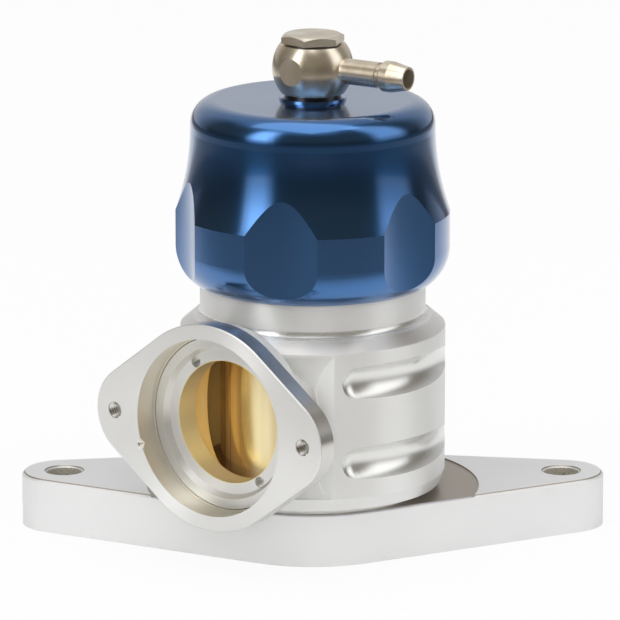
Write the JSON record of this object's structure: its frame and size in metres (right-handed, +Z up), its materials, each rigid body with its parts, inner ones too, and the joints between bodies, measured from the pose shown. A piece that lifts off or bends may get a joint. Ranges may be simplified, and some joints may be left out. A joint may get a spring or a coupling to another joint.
{
  "type": "blow-off valve",
  "caption": "Blow-off valve with a scalloped blue screw cap, banjo hose fitting, side outlet flange and two-bolt base adapter plate.",
  "frame": {"origin": "on the valve's own axis at the base adapter's gasket face", "axes": "+Z up along the piston's axis, +X along the line between the adapter plate's two bolt holes, -Y towards the side the outlet leaves from"},
  "size_m": [0.1476, 0.089, 0.1289],
  "materials": {
    "satin_aluminium": "fine turned and milled satin",
    "plate_aluminium": "fine milled satin",
    "blue_anodised": "polished, deep blue anodised",
    "brass": "polished",
    "nickel": "warm nickel plating",
    "spring_steel": "shot peened",
    "screw_steel": "black oxide",
    "washer_steel": "ground",
    "seal_rubber": "matt",
    "band_plastic": "bronze-filled fluoropolymer",
    "soft_washer": "dark anodised"
  },
  "bodies": {
    "housing": {"base_adapter": "plate_aluminium", "valve_body": "satin_aluminium", "base_screws": "screw_steel", "base_oring": "seal_rubber", "adapter_face_oring": "seal_rubber", "outlet_ring": "satin_aluminium", "outlet_ring_oring": "seal_rubber"},
    "piston": {"piston": "brass", "piston_guide_band": "band_plastic", "piston_oring_lower": "seal_rubber", "piston_oring_upper": "seal_rubber", "seat_oring": "seal_rubber", "spring": "spring_steel"},
    "spring_seat": {"spring_seat": "plate_aluminium", "thrust_washer": "washer_steel"},
    "cap": {"cap": "blue_anodised", "cap_oring": "seal_rubber", "banjo_bolt": "nickel", "banjo_washer_lower": "soft_washer", "banjo_washer_upper": "soft_washer"},
    "banjo": {"banjo_fitting": "nickel"}
  },
  "joints": [
    {"name": "piston_lift", "type": "slide", "parent": "housing", "child": "piston", "axis": [0, 0, 1], "range_m": [0, 0.01], "stiffness_N_per_m": 2000, "springref_m": -0.02, "deforming": ["spring"]},
    {"name": "preload_travel", "type": "slide", "parent": "housing", "child": "spring_seat", "axis": [0, 0, 1], "range_m": [-0.006, 0]},
    {"name": "cap_turn", "type": "hinge", "parent": "spring_seat", "child": "cap", "pos_m": [0, 0, 0.107], "axis": [0, 0, 1], "range_deg": [-1080, 0]},
    {"name": "banjo_swivel", "type": "hinge", "parent": "cap", "child": "banjo", "pos_m": [0, 0, 0.1205], "axis": [0, 0, 1], "continuous": true}
  ],
  "couplings": [
    {"joint": "preload_travel", "follows": "cap_turn", "m_per_rad": 0.00031831}
  ]
}
